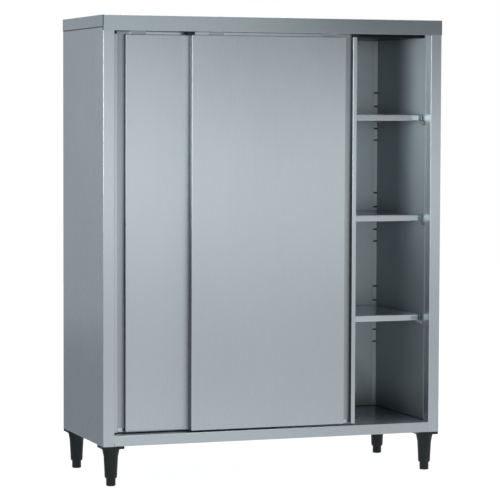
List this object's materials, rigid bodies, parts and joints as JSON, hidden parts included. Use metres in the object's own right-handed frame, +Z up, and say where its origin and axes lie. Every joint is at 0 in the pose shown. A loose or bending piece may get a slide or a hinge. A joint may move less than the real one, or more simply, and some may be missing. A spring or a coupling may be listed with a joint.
{
  "type": "sliding door cabinet",
  "caption": "Free-standing stainless steel storage cabinet with top-hung sliding doors running in separate lanes, lift-off shelves on hooked clips and adjustable legs.",
  "frame": {"origin": "centre of the cabinet's bounding box at the floor, where the feet stand", "axes": "+X to the cabinet's right as seen from the front, +Y to the back, +Z up"},
  "size_m": [1.403, 0.573, 1.8],
  "materials": {
    "outer_steel": "satin, long straight grain",
    "inner_steel": "satin, brighter than the outside",
    "galvanised_steel": "zinc plated",
    "track_aluminium": "mill finish extrusion",
    "black_nylon": "satin",
    "black_plastic": "satin moulded"
  },
  "bodies": {
    "carcass": {"side_panel_left": "outer_steel", "side_panel_right": "outer_steel", "side_lining_left": "inner_steel", "side_lining_right": "inner_steel", "back_panel": "inner_steel", "top_cap": "outer_steel", "ceiling_panel": "inner_steel", "door_track": "track_aluminium", "floor_pan": "outer_steel", "floor_stiffener": "galvanised_steel", "bottom_guide": "black_nylon", "corner_plate_front_left": "galvanised_steel", "corner_plate_front_right": "galvanised_steel", "corner_plate_back_left": "galvanised_steel", "corner_plate_back_right": "galvanised_steel", "leg_front_left": "black_plastic", "leg_front_right": "black_plastic", "leg_back_left": "black_plastic", "leg_back_right": "black_plastic", "shelf_clip_1_front_left": "galvanised_steel", "shelf_clip_1_front_right": "galvanised_steel", "shelf_clip_1_back_left": "galvanised_steel", "shelf_clip_1_back_right": "galvanised_steel", "shelf_clip_2_front_left": "galvanised_steel", "shelf_clip_2_front_right": "galvanised_steel", "shelf_clip_2_back_left": "galvanised_steel", "shelf_clip_2_back_right": "galvanised_steel", "shelf_clip_3_front_left": "galvanised_steel", "shelf_clip_3_front_right": "galvanised_steel", "shelf_clip_3_back_left": "galvanised_steel", "shelf_clip_3_back_right": "galvanised_steel"},
    "foot_front_left": {"foot_front_left": "black_plastic"},
    "foot_front_right": {"foot_front_right": "black_plastic"},
    "foot_back_left": {"foot_back_left": "black_plastic"},
    "foot_back_right": {"foot_back_right": "black_plastic"},
    "shelf_1": {"shelf_1": "inner_steel", "shelf_rib_1": "galvanised_steel"},
    "shelf_2": {"shelf_2": "inner_steel", "shelf_rib_2": "galvanised_steel"},
    "shelf_3": {"shelf_3": "inner_steel", "shelf_rib_3": "galvanised_steel"},
    "front_door": {"front_door_outer_skin": "outer_steel", "front_door_handle_channel": "outer_steel", "front_door_inner_skin": "inner_steel", "front_door_hanger_left": "galvanised_steel", "front_door_buffer_left": "black_nylon", "front_door_hanger_right": "galvanised_steel", "front_door_buffer_right": "black_nylon"},
    "front_door_roller_left": {"front_door_roller_left": "black_nylon"},
    "front_door_roller_right": {"front_door_roller_right": "black_nylon"},
    "rear_door": {"rear_door_outer_skin": "outer_steel", "rear_door_handle_channel": "outer_steel", "rear_door_inner_skin": "inner_steel", "rear_door_hanger_left": "galvanised_steel", "rear_door_buffer_left": "black_nylon", "rear_door_hanger_right": "galvanised_steel", "rear_door_buffer_right": "black_nylon"},
    "rear_door_roller_left": {"rear_door_roller_left": "black_nylon"},
    "rear_door_roller_right": {"rear_door_roller_right": "black_nylon"}
  },
  "joints": [
    {"name": "foot_front_left_height", "type": "slide", "parent": "carcass", "child": "foot_front_left", "axis": [0, 0, 1], "range_m": [-0.03, 0]},
    {"name": "foot_front_right_height", "type": "slide", "parent": "carcass", "child": "foot_front_right", "axis": [0, 0, 1], "range_m": [-0.03, 0]},
    {"name": "foot_back_left_height", "type": "slide", "parent": "carcass", "child": "foot_back_left", "axis": [0, 0, 1], "range_m": [-0.03, 0]},
    {"name": "foot_back_right_height", "type": "slide", "parent": "carcass", "child": "foot_back_right", "axis": [0, 0, 1], "range_m": [-0.03, 0]},
    {"name": "shelf_1_lift", "type": "slide", "parent": "carcass", "child": "shelf_1", "axis": [0, 0, 1], "range_m": [0, 0.06]},
    {"name": "shelf_2_lift", "type": "slide", "parent": "carcass", "child": "shelf_2", "axis": [0, 0, 1], "range_m": [0, 0.06]},
    {"name": "shelf_3_lift", "type": "slide", "parent": "carcass", "child": "shelf_3", "axis": [0, 0, 1], "range_m": [0, 0.06]},
    {"name": "front_door_slide", "type": "slide", "parent": "carcass", "child": "front_door", "axis": [1, 0, 0], "range_m": [-0.303, 0.303]},
    {"name": "front_door_roller_left_turn", "type": "hinge", "parent": "front_door", "child": "front_door_roller_left", "pos_m": [-0.236, -0.2579, 1.776], "axis": [0, 1, 0], "continuous": true},
    {"name": "front_door_roller_right_turn", "type": "hinge", "parent": "front_door", "child": "front_door_roller_right", "pos_m": [0.236, -0.2579, 1.776], "axis": [0, 1, 0], "continuous": true},
    {"name": "rear_door_slide", "type": "slide", "parent": "carcass", "child": "rear_door", "axis": [1, 0, 0], "range_m": [0, 0.606]},
    {"name": "rear_door_roller_left_turn", "type": "hinge", "parent": "rear_door", "child": "rear_door_roller_left", "pos_m": [-0.539, -0.2229, 1.776], "axis": [0, 1, 0], "continuous": true},
    {"name": "rear_door_roller_right_turn", "type": "hinge", "parent": "rear_door", "child": "rear_door_roller_right", "pos_m": [-0.067, -0.2229, 1.776], "axis": [0, 1, 0], "continuous": true}
  ],
  "couplings": [
    {"joint": "front_door_roller_left_turn", "follows": "front_door_slide", "rad_per_m": 66.667},
    {"joint": "front_door_roller_right_turn", "follows": "front_door_slide", "rad_per_m": 66.667},
    {"joint": "rear_door_roller_left_turn", "follows": "rear_door_slide", "rad_per_m": 66.667},
    {"joint": "rear_door_roller_right_turn", "follows": "rear_door_slide", "rad_per_m": 66.667}
  ]
}
